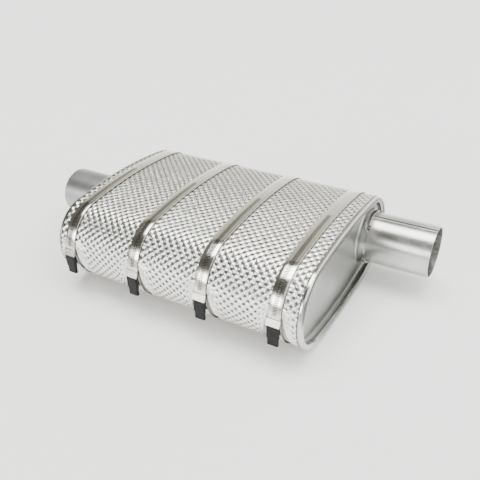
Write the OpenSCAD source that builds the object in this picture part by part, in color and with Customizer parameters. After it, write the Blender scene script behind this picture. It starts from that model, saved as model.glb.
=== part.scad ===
// Oval muffler with an embossed heat shield strapped round it by four slotted lock ties.
// X runs along the muffler, -Y is the front, +Z is up; the origin is the middle of the inlet mouth.

/* [Muffler body] */
// Length of the body over its two end rims
body_len = 318; // [260:1:400]
// Width of the oval over its rims, front to back
body_w = 242; // [234:1:260]
// Height of the oval over its rims
body_h = 107; // [102:1:114]
// How far the flat crown rises above the round ends
crown_rise = 5; // [4:0.5:9]
// Thickness of the wrapped shell
shell_wall = 1.2; // [0.9:0.1:2]
// How far the end rims stand proud of the shell
rim_proud = 2.5; // [2:0.1:3]

/* [End heads] */
// Thickness of the stamped heads
head_wall = 1.5; // [1:0.1:2]
// Width of the locked rim along the muffler
rim_w = 5; // [4.5:0.1:8]
// Width of the rolled rim from its outside to its inside
rim_band = 7; // [6:0.1:9]
// How deep the head's plate sits inside the rim
head_recess = 9.2; // [8:0.1:14]
// Inside corner radius between plate and rim
head_fillet = 4; // [2:0.5:6]
// Length of the collar drawn out round each neck
collar_len = 10.2; // [6:0.1:14]
// Wall of that collar
collar_wall = 1.9; // [1.2:0.1:3]
// Radius of the collar's foot
collar_foot_r = 2.5; // [1:0.5:4]

/* [Necks] */
// Bore of both necks, a slip fit on a 57.15 mm pipe
neck_bore = 57.5; // [50:0.1:58]
// Wall of both necks
neck_wall = 1.5; // [1:0.1:2]
// Inlet neck's length outside the rim
inlet_len = 87; // [40:1:120]
// Outlet neck's length outside the rim
outlet_len = 74; // [40:1:120]
// Inlet neck's distance behind the body's middle
inlet_back = 7; // [0:1:10]
// Outlet neck's distance behind the body's middle
outlet_back = 74; // [72:0.5:76]
// How far each neck reaches inside its head
neck_inside = 12; // [8:1:20]

/* [Inner tubes and baffles] */
// Wall of the inner tubes
tube_wall = 1.2; // [0.9:0.1:1.5]
// Wall of the baffles
baffle_wall = 1.2; // [0.9:0.1:2]
// Width of a baffle's flange along the shell
baffle_flange = 12; // [6:1:20]
// Distance of each baffle from the body's middle
baffle_x = 62; // [50:1:80]
// How far the tubes reach past the baffles
tube_past = 22; // [10:1:40]
// Return tube's distance in front of the body's middle
return_front = 62; // [60:1:70]
// Diameter of the holes in the inner tubes
perf_d = 5; // [3:0.5:8]
// Distance between rings of holes
perf_step = 18; // [10:1:30]
// Holes in one ring
perf_ring = 8; // [4:2:12]

/* [Heat shield] */
// Gap between the shield's edge and each rim
shield_end_gap = 0.4; // [0.2:0.1:3]
// Height of the bumps' crests above the shell
shield_stand = 3.3; // [2.6:0.1:4]
// Thickness of the embossed sheet
sheet_t = 0.5; // [0.3:0.1:0.8]
// Depth of the embossing
emboss_depth = 2.2; // [1:0.1:2.4]
// Distance between bumps along the muffler; each row is shifted by half of it
emboss_pitch = 9; // [9:0.5:20]
// Distance between rows of bumps
emboss_row = 4.55; // [4.55:0.05:10]
// How far the sheet reaches below the widest line, along its curve
shield_drop = 44; // [36:1:50]
// Height above the widest line where each notch round a buckle ends
notch_top = 10.5; // [10:0.5:16]
// Width over which a notch's side flares out to the sheet's lower edge
notch_flare = 17; // [12:1:22]

/* [Lock ties] */
// Width of the strap
strap_w = 14; // [10:0.2:15]
// Thickness of the strap
strap_t = 0.8; // [0.4:0.1:0.9]
// First tie's distance from the inlet end of the body
tie_1_in = 21; // [19:1:29]
// Second tie's distance from the inlet end of the body
tie_2_in = 114; // [99:1:125]
// Third tie's distance from the outlet end of the body
tie_3_in = 115; // [99:1:129]
// Fourth tie's distance from the outlet end of the body
tie_4_in = 29; // [23:1:39]
// Distance between the strap's slots
slot_step = 3.2; // [2.6:0.1:6]
// Length of one slot across the strap
slot_len = 7.5; // [4:0.1:8.5]
// Width of one slot
slot_w = 1.3; // [0.8:0.1:1.6]
// Lean of a slot from straight across
slot_lean = 9; // [0:1:12]
// Slotted length above the buckle
slotted_len = 147; // [80:1:180]

/* [Buckles and tail caps] */
// Thickness of the buckle's folded sheet
buckle_wall = 0.6; // [0.5:0.1:0.8]
// Length of the buckle along the strap
buckle_len = 6.6; // [6:0.1:8]
// How far the buckle's mouth stands off the strap
buckle_h = 3.6; // [3.2:0.1:4.5]
// Width of the buckle's lock tongue
tongue_w = 6; // [4:0.5:7]
// Angle at which the strap's tail leaves the curve inside the buckle
tail_turn = 18; // [17:0.5:19]
// Length of the strap's tail below the widest line
tail_len = 21; // [16:1:26]
// Width of the tail where it leaves the buckle
tail_w = 11; // [9:0.5:11]
// Width of the tail's tip
tail_tip_w = 9; // [6:0.5:9]
// Width of the tail cap at its mouth
cap_w = 13.6; // [13:0.1:14]
// Width of the tail cap at its closed end
cap_tip_w = 12.2; // [11:0.1:13.6]
// Thickness of the tail cap
cap_t = 4.4; // [3.5:0.1:5]
// Length of the tail cap
cap_len = 24; // [20:1:34]
// Length of the tail cap's wider mouth
cap_step = 15; // [4:0.5:18]
// Radius of the tail cap's edges
cap_round = 1.3; // [0.4:0.1:1.8]

/* [Clearances] */
// Gap at a welded or crimped joint
weld_gap = 0.05; // [0.03:0.01:0.1]
// Gap between pieces that only lie on each other
lay_gap = 0.15; // [0.1:0.05:0.25]

/* [Hidden] */
$fn = 96;
eps = 0.01;

// The rim's oval: two end arcs joined by two crown arcs that meet them without a corner
half_w = body_w / 2;
half_h = body_h / 2;
end_r = half_h - crown_rise;
end_c = half_w - end_r;
crown_r = (end_c^2 + half_h^2 - end_r^2) / (2 * (half_h - end_r));
crown_c = crown_r - half_h;
end_turn = atan2(crown_c, end_c);
crown_turn = 90 - end_turn;

// Offsets from the rim's oval, outwards positive
shell_out = -rim_proud;
shell_in = shell_out - shell_wall;
head_out = shell_in - weld_gap;
head_in = -rim_band;
crest = shell_out + shield_stand;
strap_in = crest + lay_gap;
strap_out = strap_in + strap_t;
under_out = strap_in - lay_gap / 2;
under_in = under_out - strap_t;
belly_in = shell_out + weld_gap;

// Places along X from the body's middle
rim_x = body_len / 2;
rim_back_x = rim_x - rim_w;
plate_x = rim_x - head_recess;
plate_back_x = plate_x - head_wall;
rim_round = rim_band / 2;
groove_x = rim_x - rim_round + 1.2;
shell_half = groove_x - weld_gap;
neck_in_x = plate_back_x - neck_inside;
shield_half = rim_back_x - shield_end_gap;
tie_1 = tie_1_in - rim_x;
tie_2 = tie_2_in - rim_x;
tie_3 = rim_x - tie_3_in;
tie_4 = rim_x - tie_4_in;
ties = [tie_1, tie_2, tie_3, tie_4];

// Necks and tubes
neck_r = neck_bore / 2 + neck_wall;
collar_r = neck_r + weld_gap;
tube_in_r = neck_r + weld_gap;
tube_out_r = tube_in_r + tube_wall;
tube_start = plate_back_x - lay_gap;
tube_end = baffle_x + tube_past;
perf_rows = 2 * floor((baffle_x - baffle_flange - perf_d) / perf_step) + 1;

// The straps leave the widest line on tighter lower arcs, so that they reach the bare belly
function low_end_r(reach, inset) =
    ((crown_r + inset)^2 - crown_c^2 - reach^2) / (2 * (crown_r + inset - reach));
strap_reach = half_w + strap_in;
under_reach = half_w + under_in;
low_r = low_end_r(strap_reach, belly_in);
low_c = strap_reach - low_r;
under_r = low_end_r(under_reach, belly_in);
under_c = under_reach - under_r;
low_shift = low_c - end_c;

// Length of the crest line: front end arc, crown arc and back end arc
end_arc_len = (end_r + crest) * end_turn * PI / 180;
crown_arc_len = 2 * (crown_r + crest) * crown_turn * PI / 180;
over_len = 2 * end_arc_len + crown_arc_len;

// Shield grid: columns of bumps along X, rows along the curve from the front edge to the back edge
notch_half = max(strap_w / 2 + 1.3, strap_w / 2 + buckle_wall + 2 * lay_gap);
side_cols = round(2 * shield_half / emboss_pitch);
col_gap = shield_half / side_cols;
rows = 2 * round((over_len + 2 * shield_drop) / emboss_row / 2);
row_gap = (over_len + 2 * shield_drop) / rows;
free_rows = 2 * ceil((notch_top + 4 + shield_drop) / row_gap / 2);
blend_q = free_rows * row_gap - shield_drop;
lining_lift = 0.12;

// Buckle: saddle behind both strap layers, hood leaning out over them
buckle_w = strap_w + 2 * (weld_gap + buckle_wall);
face_r = end_r + strap_out;
face_y = -(end_c + face_r);
saddle_r = end_r + under_in - weld_gap;
saddle_z = buckle_len - 1.2;
lip_gap = 0.1;
lip_y = -end_c - sqrt(face_r^2 - buckle_len^2) - lip_gap - buckle_wall;
fold_z = saddle_z + 0.1 + strap_t;
fold_y = -end_c - sqrt((saddle_r - buckle_wall)^2 - saddle_z^2) + 0.1;
hood_lean = atan2(lip_y - face_y + buckle_h, buckle_len);
hood_t = buckle_wall / cos(hood_lean);

// Tail: straight down from the widest line, clear of the strap's lower layer
leave_z = 0.63 * buckle_len;
lock_z = 0.32 * buckle_len;
tail_y = -end_c - sqrt(face_r^2 - leave_z^2) - leave_z * tan(tail_turn);
cap_top = 0.4;
cap_gap = 0.1;
cap_back_wall = 0.9;
cap_y = tail_y + strap_t + cap_gap + cap_back_wall - cap_t;
function tail_face(z) = tail_y + z * tan(tail_turn);
function strap_face(z) = -end_c - sqrt(face_r^2 - z^2);
function hood_y(z) = face_y - buckle_h + (lip_y - face_y + buckle_h) * z / buckle_len;

// Frames: the body's middle seen from the inlet mouth, and a plane across the muffler
module on_body() {
    translate([inlet_len + rim_x, -inlet_back, 0]) children();
}
module across(x) {
    translate([x, 0, 0]) rotate([90, 0, 90]) children();
}
module slice(x0, x1) {
    across(x0) linear_extrude(x1 - x0) children();
}

// Oval shapes
module oval_area(grow) {
    strip = 2 * (end_c + (end_r + grow) * cos(end_turn));
    intersection() {
        translate([0, -crown_c]) circle(crown_r + grow);
        translate([0, crown_c]) circle(crown_r + grow);
        square([strip, body_h + 20], center = true);
    }
    for (side = [-1, 1]) translate([side * end_c, 0]) circle(end_r + grow);
}
module oval_band(outer, inner) {
    difference() {
        oval_area(outer);
        oval_area(inner);
    }
}
module sector(radius, from, to) {
    rotate([0, 0, from]) rotate_extrude(angle = to - from) translate([radius, 0]) children();
}
module along_oval() {
    translate([end_c, 0, 0]) sector(end_r, -end_turn, end_turn) children();
    translate([-end_c, 0, 0]) sector(end_r, 180 - end_turn, 180 + end_turn) children();
    translate([0, -crown_c, 0]) sector(crown_r, end_turn, 180 - end_turn) children();
    translate([0, crown_c, 0]) sector(crown_r, 180 + end_turn, 360 - end_turn) children();
}
module tube(outer, inner, x0, x1, back) {
    across(x0) translate([back, 0, 0]) difference() {
        cylinder(r = outer, h = x1 - x0);
        translate([0, 0, -1]) cylinder(r = inner, h = x1 - x0 + 2);
    }
}

// Muffler body
module muffler_shell() {
    color("gainsboro") on_body() slice(-shell_half, shell_half) oval_band(shell_out, shell_in);
}
module collar(back) {
    translate([back, 0, plate_x - eps]) rotate_extrude() difference() {
        union() {
            translate([collar_r, 0]) square([collar_wall, collar_len]);
            translate([collar_r, 0]) square([collar_wall + collar_foot_r, collar_foot_r]);
        }
        translate([collar_r + collar_wall + collar_foot_r, collar_foot_r]) circle(collar_foot_r);
    }
}
// Section of a head's edge: X outward from the rim's oval, Y along the muffler
module head_edge() {
    difference() {
        union() {
            translate([head_in, plate_back_x]) square([head_out - head_in, rim_x - rim_round - plate_back_x]);
            translate([head_in, rim_back_x]) square([rim_band, rim_w - rim_round]);
            intersection() {
                translate([-rim_round, rim_x - rim_round]) circle(rim_round);
                translate([head_in, rim_back_x]) square([rim_band, rim_w]);
            }
            translate([head_in - head_fillet - 1, plate_back_x]) square([head_fillet + 1 + eps, head_wall]);
            difference() {
                translate([head_in - head_fillet, plate_x - eps]) square(head_fillet + eps);
                translate([head_in - head_fillet, plate_x + head_fillet]) circle(head_fillet);
            }
        }
        translate([head_out, rim_back_x - 1])
            square([shell_out + weld_gap - head_out, groove_x - rim_back_x + 1]);
    }
}
// Head drawn with the muffler's outside along +Z of the slicing plane
module head(back) {
    difference() {
        union() {
            along_oval() head_edge();
            translate([0, 0, plate_back_x]) linear_extrude(head_wall) oval_area(head_in - head_fillet - 0.5);
            collar(back);
        }
        translate([back, 0, 0]) cylinder(r = collar_r, h = body_len);
    }
}
module inlet_head() {
    color("silver") on_body() mirror([1, 0, 0]) across(0) head(inlet_back);
}
module outlet_head() {
    color("silver") on_body() across(0) head(outlet_back);
}
module inlet_neck() {
    color("silver") on_body() tube(neck_r, neck_bore / 2, -rim_x - inlet_len, -neck_in_x, inlet_back);
}
module outlet_neck() {
    color("silver") on_body() tube(neck_r, neck_bore / 2, neck_in_x, rim_x + outlet_len, outlet_back);
}

// Inside: three tubes carried by two baffles, with holes in the middle chamber
module inner_tube(x0, x1, back) {
    difference() {
        tube(tube_out_r, tube_in_r, x0, x1, back);
        for (row = [0 : perf_rows - 1], hole = [0 : perf_ring - 1])
            translate([(row - (perf_rows - 1) / 2) * perf_step, back, 0])
                rotate([hole * 360 / perf_ring, 0, 0]) translate([0, 0, tube_in_r - 3])
                    cylinder(d = perf_d, h = tube_wall + 4);
    }
}
module inlet_tube() {
    color("lightslategray") on_body() inner_tube(-tube_start, tube_end, inlet_back);
}
module outlet_tube() {
    color("lightslategray") on_body() inner_tube(-tube_end, tube_start, outlet_back);
}
module return_tube() {
    color("lightslategray") on_body() inner_tube(-tube_end, tube_end, -return_front);
}
module baffle() {
    difference() {
        union() {
            linear_extrude(baffle_wall) oval_area(shell_in - weld_gap);
            linear_extrude(baffle_flange)
                oval_band(shell_in - weld_gap, shell_in - weld_gap - baffle_wall);
        }
        for (back = [inlet_back, outlet_back, -return_front])
            translate([back, 0, -1]) cylinder(r = tube_out_r + weld_gap, h = baffle_flange);
    }
}
module inlet_baffle() {
    color("slategray") on_body() mirror([1, 0, 0]) across(baffle_x) baffle();
}
module outlet_baffle() {
    color("slategray") on_body() across(baffle_x) baffle();
}

// Heat shield
// Point at distance q along the crest line from the front's widest line, sunk below the crests
function shield_point(q, sink) =
    q < 0 ? low_point(-q, sink, -1) :
    q <= end_arc_len ? end_point(q, sink, -1) :
    q <= end_arc_len + crown_arc_len ? crown_point(q - end_arc_len - crown_arc_len / 2, sink) :
    q <= over_len ? end_point(over_len - q, sink, 1) :
    low_point(q - over_len, sink, 1);
function end_point(s, sink, side) =
    let (a = s / (end_r + crest) * 180 / PI, r = end_r + crest - sink)
    [side * (end_c + r * cos(a)), r * sin(a)];
function crown_point(s, sink) =
    let (a = s / (crown_r + crest) * 180 / PI, r = crown_r + crest - sink)
    [r * sin(a), r * cos(a) - crown_c];
function low_angle(s) = s / (low_r - lay_gap) * 180 / PI;
function low_point(s, sink, side) =
    let (a = low_angle(s), r = low_r - lay_gap - sink)
    [side * (low_c + r * cos(a)), -r * sin(a)];
// Room between the crest line and the shell, which closes up along the lower arcs
function below_line(q) = max(0, -q, q - over_len);
function room(q) = shield_stand - lay_gap - low_shift * (1 - cos(low_angle(below_line(q))));
function depth_at(q) = max(0, min(emboss_depth, room(q) - sheet_t));

// Lower front edge: level between the ties, notched round each buckle
function to_tie(x) = min([for (tie = ties) abs(x - tie)]);
function front_edge(x) =
    let (t = min(1, max(0, (to_tie(x) - notch_half) / notch_flare)))
    notch_top - (notch_top + shield_drop) * sin(90 * t);
function row_q(x, j) =
    j < free_rows ? front_edge(x) + (blend_q - front_edge(x)) * j / free_rows : j * row_gap - shield_drop;
// Columns: one for each half step of the bumps, and one flat cell in place of those under a tie
function nearest_tie(x) = [for (tie = ties) if (abs(x - tie) == to_tie(x)) tie][0];
function under_tie(x) = to_tie(x) < notch_half + 0.6;
columns = [for (k = [-side_cols : side_cols]) let (x = k * col_gap)
    each !under_tie(x) ? [x] : under_tie(x - col_gap) ? [] :
        [nearest_tie(x) - notch_half, nearest_tie(x) + notch_half]];
last = len(columns) - 1;

// Embossing: crests and valleys take turns, and fade where the sheet is pressed flat
function fade(x, j) =
    under_tie(x) || j == 0 || j == rows ? 0 :
    j < free_rows ? (blend_q - front_edge(x)) / (blend_q + shield_drop) : 1;
function sink_at(i, j) =
    let (x = columns[i])
    ((round(x / col_gap) + j) % 2 == 0 ? 0 : 1) * depth_at(row_q(x, j)) * fade(x, j);
function outer_vertex(i, j) = concat([columns[i]], shield_point(row_q(columns[i], j), sink_at(i, j)));
function inner_vertex(i, j) =
    let (q = row_q(columns[i], j)) concat([columns[i]], shield_point(q, room(q) - lining_lift));

// The sheet's outside is embossed and its lining follows the shell; long strips line the plain rows
module heat_shield() {
    half = free_rows / 2;
    outer = [for (i = [0 : last], j = [0 : rows]) outer_vertex(i, j)];
    lining = [for (i = [0 : last], m = [0 : half]) inner_vertex(i, 2 * m)];
    strips = [for (i = [0, last], j = [free_rows + 1 : rows]) inner_vertex(i, j)];
    lining_0 = len(outer);
    strips_0 = lining_0 + len(lining);
    out = function(i, j) i * (rows + 1) + j;
    low = function(i, m) lining_0 + i * (half + 1) + m;
    strip = function(i, j) j == free_rows ? low(i, half) :
        strips_0 + (i == 0 ? 0 : rows - free_rows) + j - free_rows - 1;
    outer_skin = [for (i = [0 : last - 1], j = [0 : rows - 1])
        let (a = out(i, j), b = out(i + 1, j), c = out(i + 1, j + 1), d = out(i, j + 1))
        each (i + j) % 2 == 0 ? [[a, c, b], [a, d, c]] : [[a, d, b], [b, d, c]]];
    lining_skin = [for (i = [0 : last - 1], m = [0 : half - 1])
        let (a = low(i, m), b = low(i + 1, m), c = low(i + 1, m + 1), d = low(i, m + 1))
        each [[a, b, c], [a, c, d]]];
    first_strip = concat(
        [for (i = [0 : last - 1]) [low(i, half), low(i + 1, half), strip(0, free_rows + 1)]],
        [[low(last, half), strip(last, free_rows + 1), strip(0, free_rows + 1)]]);
    strip_skin = [for (j = [free_rows + 1 : rows - 1])
        each [[strip(0, j), strip(last, j), strip(last, j + 1)], [strip(0, j), strip(last, j + 1), strip(0, j + 1)]]];
    front_edge_skin = [for (i = [0 : last - 1])
        each [[out(i, 0), out(i + 1, 0), low(i + 1, 0)], [out(i, 0), low(i + 1, 0), low(i, 0)]]];
    back_edge_skin = concat(
        [for (i = [0 : last - 1]) [out(i, rows), strip(0, rows), out(i + 1, rows)]],
        [[out(last, rows), strip(0, rows), strip(last, rows)]]);
    low_end_skin = [for (i = [0, last], m = [0 : half - 1])
        let (a = out(i, 2 * m), b = out(i, 2 * m + 1), c = out(i, 2 * m + 2), p = low(i, m), q = low(i, m + 1))
        each i == 0 ? [[a, p, b], [b, p, q], [b, q, c]] : [[a, b, p], [b, q, p], [b, c, q]]];
    end_skin = [for (i = [0, last], j = [free_rows : rows - 1])
        let (a = out(i, j), b = out(i, j + 1), p = strip(i, j), q = strip(i, j + 1))
        each i == 0 ? [[a, p, q], [a, q, b]] : [[a, q, p], [a, b, q]]];
    color("whitesmoke") on_body() polyhedron(concat(outer, lining, strips), concat(outer_skin, lining_skin,
        first_strip, strip_skin, front_edge_skin, back_edge_skin, low_end_skin, end_skin));
}

// Lock ties
// The strap's section, seen along the muffler with the front to the left
module above(z) {
    translate([-body_w, z]) square([2 * body_w, body_h]);
}
// Area inside the loop's lower half, with the end arcs that run on above it
module lower_area(grow) {
    front_x = under_c + (under_r + grow) * cos(atan2(crown_c, under_c));
    back_x = low_c + (low_r + grow) * cos(atan2(crown_c, low_c));
    intersection() {
        union() {
            translate([-end_c, 0]) circle(end_r + under_in + grow);
            translate([end_c, 0]) circle(end_r + strap_in + grow);
        }
        above(0);
    }
    translate([-under_c, 0]) circle(under_r + grow);
    translate([low_c, 0]) circle(low_r + grow);
    intersection() {
        translate([0, crown_c]) circle(crown_r + belly_in + grow);
        translate([-front_x, -body_h]) square([front_x + back_x, body_h]);
    }
}
module upper_band() {
    intersection() {
        oval_band(strap_out, strap_in);
        polygon([[-end_c, 0], [-end_c - body_w, body_w * (leave_z - 0.7) / face_r], [-end_c - body_w, body_w],
            [body_w, body_w], [body_w, 2], [0, 2]]);
    }
}
module lower_band() {
    intersection() {
        difference() {
            lower_area(strap_t);
            lower_area(0);
        }
        polygon([[-body_w, -body_h], [body_w, -body_h], [body_w, 5], [end_c, 5], [end_c, -5],
            [-end_c, -5], [-end_c, fold_z], [-body_w, fold_z]]);
    }
}
module tail_section() {
    lift = leave_z + 0.7;
    step_y = strap_t / cos(tail_turn);
    polygon([[tail_face(lift), lift], [tail_y, 0], [tail_y, -tail_len], [tail_y + strap_t, -tail_len],
        [tail_y + strap_t, -strap_t * tan(tail_turn / 2)], [tail_face(lift) + step_y, lift]]);
}
// The plain end goes up through the buckle and folds back over the saddle
module fold_section() {
    top_y = -end_c - sqrt((end_r + under_in + strap_t / 2)^2 - fold_z^2);
    translate([top_y, fold_z - strap_t]) square([fold_y + strap_t - top_y, strap_t]);
    translate([fold_y, lock_z]) square([strap_t, fold_z - lock_z]);
}
module strap(tie) {
    difference() {
        slice(tie - strap_w / 2, tie + strap_w / 2) {
            upper_band();
            lower_band();
            tail_section();
            fold_section();
        }
        slots(tie);
        tongue_slot(tie);
        tail_cut(tie);
    }
}
module slots(tie) {
    for (k = [0 : floor(slotted_len / slot_step)]) {
        q = buckle_len + 4.5 + k * slot_step;
        p = shield_point(q, -lay_gap - strap_t / 2);
        p2 = shield_point(q + 0.1, -lay_gap - strap_t / 2);
        translate([tie, p[0], p[1]]) rotate([atan2(p2[1] - p[1], p2[0] - p[0]), 0, 0])
            rotate([0, 0, slot_lean]) cube([slot_len, slot_w, 2.4], center = true);
    }
}
module tongue_slot(tie) {
    translate([tie, tail_y + lock_z * tan(tail_turn) + strap_t / 2, lock_z])
        rotate([tail_turn, 0, 0]) cube([slot_len, 1.6, slot_w], center = true);
}
module tail_cut(tie) {
    for (side = [-1, 1]) translate([tie, face_y + 0.5, 0]) rotate([90, 0, 0]) linear_extrude(5)
        polygon([[side * strap_w / 2, 3], [side * tail_w / 2, 0], [side * tail_tip_w / 2, -tail_len],
            [side * tail_tip_w / 2, -tail_len - 1], [side * strap_w, -tail_len - 1], [side * strap_w, 3]]);
}
module hood_area(inset, z0, z1) {
    polygon([[hood_y(z0) + inset, z0], [hood_y(z1) + inset, z1], [-end_c - 20, z1], [-end_c - 20, z0]]);
}
module buckle(tie) {
    difference() {
        slice(tie - buckle_w / 2, tie + buckle_w / 2) difference() {
            hood_area(0, 0, buckle_len);
            translate([-end_c, 0]) circle(saddle_r - buckle_wall);
        }
        slice(tie - strap_w / 2 - weld_gap, tie + strap_w / 2 + weld_gap) {
            difference() {
                hood_area(hood_t, -1, buckle_len + 1);
                translate([-end_c, 0]) circle(saddle_r);
            }
            hood_area(hood_t, saddle_z - 0.05, buckle_len + 1);
        }
    }
    root_z = 0.79 * buckle_len;
    slice(tie - tongue_w / 2, tie + tongue_w / 2) polygon([
        [hood_y(root_z + 0.5) + hood_t / 2, root_z + 0.5], [hood_y(root_z - 0.5) + hood_t / 2, root_z - 0.5],
        [tail_face(lock_z - 0.1) - 0.7, lock_z - 0.1], [tail_face(lock_z - 0.3) + 0.45, lock_z - 0.3],
        [tail_face(lock_z + 0.2) + 0.45, lock_z + 0.2], [tail_face(lock_z + 0.3) - 0.12, lock_z + 0.3],
        [strap_face(root_z - 0.3) - 0.15, root_z - 0.3]]);
}
// Tail cap: a dipped sleeve with a wider mouth, closed below
module round_bar(w, t, r) {
    square([w - 2 * r, t], center = true);
    square([w, t - 2 * r], center = true);
    for (x = [-1, 1], y = [-1, 1]) translate([x * (w / 2 - r), y * (t / 2 - r)]) circle(r);
}
module cap_body(w, t, z0, z1) {
    translate([0, 0, z0]) linear_extrude(z1 - z0) round_bar(w, t, cap_round);
}
module tail_cap(tie) {
    translate([tie, cap_y + cap_t / 2, 0]) difference() {
        intersection() {
            union() {
                cap_body(cap_w, cap_t, -cap_step, -cap_top);
                cap_body(cap_tip_w, cap_t - 0.5, -cap_len, -cap_step + eps);
            }
            translate([0, cap_t, -cap_len / 2]) rotate([90, 0, 0]) linear_extrude(2 * cap_t)
                round_bar(cap_w + 4, cap_len, 3.5);
        }
        translate([0, tail_y - cap_y - cap_t / 2 + strap_t + cap_gap, 0]) rotate([90, 0, 0])
            linear_extrude(strap_t + 2 * cap_gap)
                polygon([[-tail_w / 2 - cap_gap, 1], [tail_w / 2 + cap_gap, 1],
                    [tail_tip_w / 2 + cap_gap, -tail_len - cap_gap],
                    [-tail_tip_w / 2 - cap_gap, -tail_len - cap_gap]]);
    }
}
module strap_1() { color("lightgray") on_body() strap(tie_1); }
module strap_2() { color("lightgray") on_body() strap(tie_2); }
module strap_3() { color("lightgray") on_body() strap(tie_3); }
module strap_4() { color("lightgray") on_body() strap(tie_4); }
module buckle_1() { color("silver") on_body() buckle(tie_1); }
module buckle_2() { color("silver") on_body() buckle(tie_2); }
module buckle_3() { color("silver") on_body() buckle(tie_3); }
module buckle_4() { color("silver") on_body() buckle(tie_4); }
module tail_cap_1() { color("dimgray") on_body() tail_cap(tie_1); }
module tail_cap_2() { color("dimgray") on_body() tail_cap(tie_2); }
module tail_cap_3() { color("dimgray") on_body() tail_cap(tie_3); }
module tail_cap_4() { color("dimgray") on_body() tail_cap(tie_4); }

muffler_shell();
inlet_head();
outlet_head();
inlet_neck();
outlet_neck();
inlet_tube();
outlet_tube();
return_tube();
inlet_baffle();
outlet_baffle();
heat_shield();
strap_1();
strap_2();
strap_3();
strap_4();
buckle_1();
buckle_2();
buckle_3();
buckle_4();
tail_cap_1();
tail_cap_2();
tail_cap_3();
tail_cap_4();
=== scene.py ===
"""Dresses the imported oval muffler, its embossed heat shield and its lock ties for a studio picture."""

import logging
import math
from dataclasses import dataclass
from enum import Enum
from functools import cached_property
from typing import Any, ClassVar, Iterable, Sequence

import bmesh
import bpy
from mathutils import Matrix, Vector

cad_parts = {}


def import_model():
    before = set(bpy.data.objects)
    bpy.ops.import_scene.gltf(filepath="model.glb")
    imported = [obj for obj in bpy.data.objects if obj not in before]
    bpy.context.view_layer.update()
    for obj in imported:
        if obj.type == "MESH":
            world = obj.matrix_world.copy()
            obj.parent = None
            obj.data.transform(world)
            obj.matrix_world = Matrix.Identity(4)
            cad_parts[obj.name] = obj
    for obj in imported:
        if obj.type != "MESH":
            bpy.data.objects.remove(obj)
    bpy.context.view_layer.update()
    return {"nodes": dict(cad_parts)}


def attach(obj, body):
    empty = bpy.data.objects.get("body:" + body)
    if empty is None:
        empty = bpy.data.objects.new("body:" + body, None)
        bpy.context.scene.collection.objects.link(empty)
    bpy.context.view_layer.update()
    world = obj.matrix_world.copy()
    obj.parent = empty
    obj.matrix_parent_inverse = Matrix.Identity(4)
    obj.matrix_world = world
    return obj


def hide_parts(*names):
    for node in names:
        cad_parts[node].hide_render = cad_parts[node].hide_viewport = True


log = logging.getLogger("muffler")

MM = 0.001
BODY = "root"

# The body's middle in the row's frame, in metres
BODY_X = 0.246
BODY_Y = -0.007

# The ties along the body, in millimetres from its middle
TIES = (-138.0, -45.0, 44.0, 130.0)

Triple = tuple[float, float, float]
Colour = Triple
Span = tuple[float, float]


class Socket:
    """A shader socket that takes part in Python arithmetic, one Math node for each operator."""

    def __init__(self, graph: "Graph", socket: bpy.types.NodeSocket) -> None:
        """Wraps a socket.

        Args:
            graph: The node tree that new Math nodes go into.
            socket: The output socket to wrap.
        """
        self.graph = graph
        self.socket = socket

    def _math(self, operation: str, first: Any, second: Any = None) -> "Socket":
        """Adds a Math node.

        Args:
            operation: The Math node's operation.
            first: Its first value or socket.
            second: Its second value or socket, where it takes one.

        Returns:
            The node's result.
        """
        values = {0: first} if second is None else {0: first, 1: second}
        return self.graph.add("ShaderNodeMath", {"operation": operation}, values)

    def __add__(self, other: Any) -> "Socket":
        """Adds."""
        return self._math("ADD", self, other)

    __radd__ = __add__

    def __sub__(self, other: Any) -> "Socket":
        """Subtracts."""
        return self._math("SUBTRACT", self, other)

    def __rsub__(self, other: Any) -> "Socket":
        """Subtracts this socket from a number."""
        return self._math("SUBTRACT", other, self)

    def __mul__(self, other: Any) -> "Socket":
        """Multiplies."""
        return self._math("MULTIPLY", self, other)

    __rmul__ = __mul__

    def __truediv__(self, other: Any) -> "Socket":
        """Divides."""
        return self._math("DIVIDE", self, other)

    def __rtruediv__(self, other: Any) -> "Socket":
        """Divides a number by this socket."""
        return self._math("DIVIDE", other, self)

    def absolute(self) -> "Socket":
        """Drops the sign."""
        return self._math("ABSOLUTE", self)

    def cosine(self) -> "Socket":
        """Takes the cosine."""
        return self._math("COSINE", self)

    def angle(self, other: "Socket") -> "Socket":
        """Gives the angle whose tangent is this socket over the other one, in radians."""
        return self._math("ARCTAN2", self, other)

    def ramp(self, low: float, high: float) -> "Socket":
        """Rises smoothly from 0 to 1 between two values.

        Args:
            low: Where the rise starts.
            high: Where it ends; it may be below low, for a fall.

        Returns:
            The 0 to 1 value.
        """
        start, end, first, last = (low, high, 0.0, 1.0) if low < high else (high, low, 1.0, 0.0)
        return self.graph.add("ShaderNodeMapRange", {"interpolation_type": "SMOOTHSTEP"},
                              {"Value": self, "From Min": start, "From Max": end,
                               "To Min": first, "To Max": last})


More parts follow.
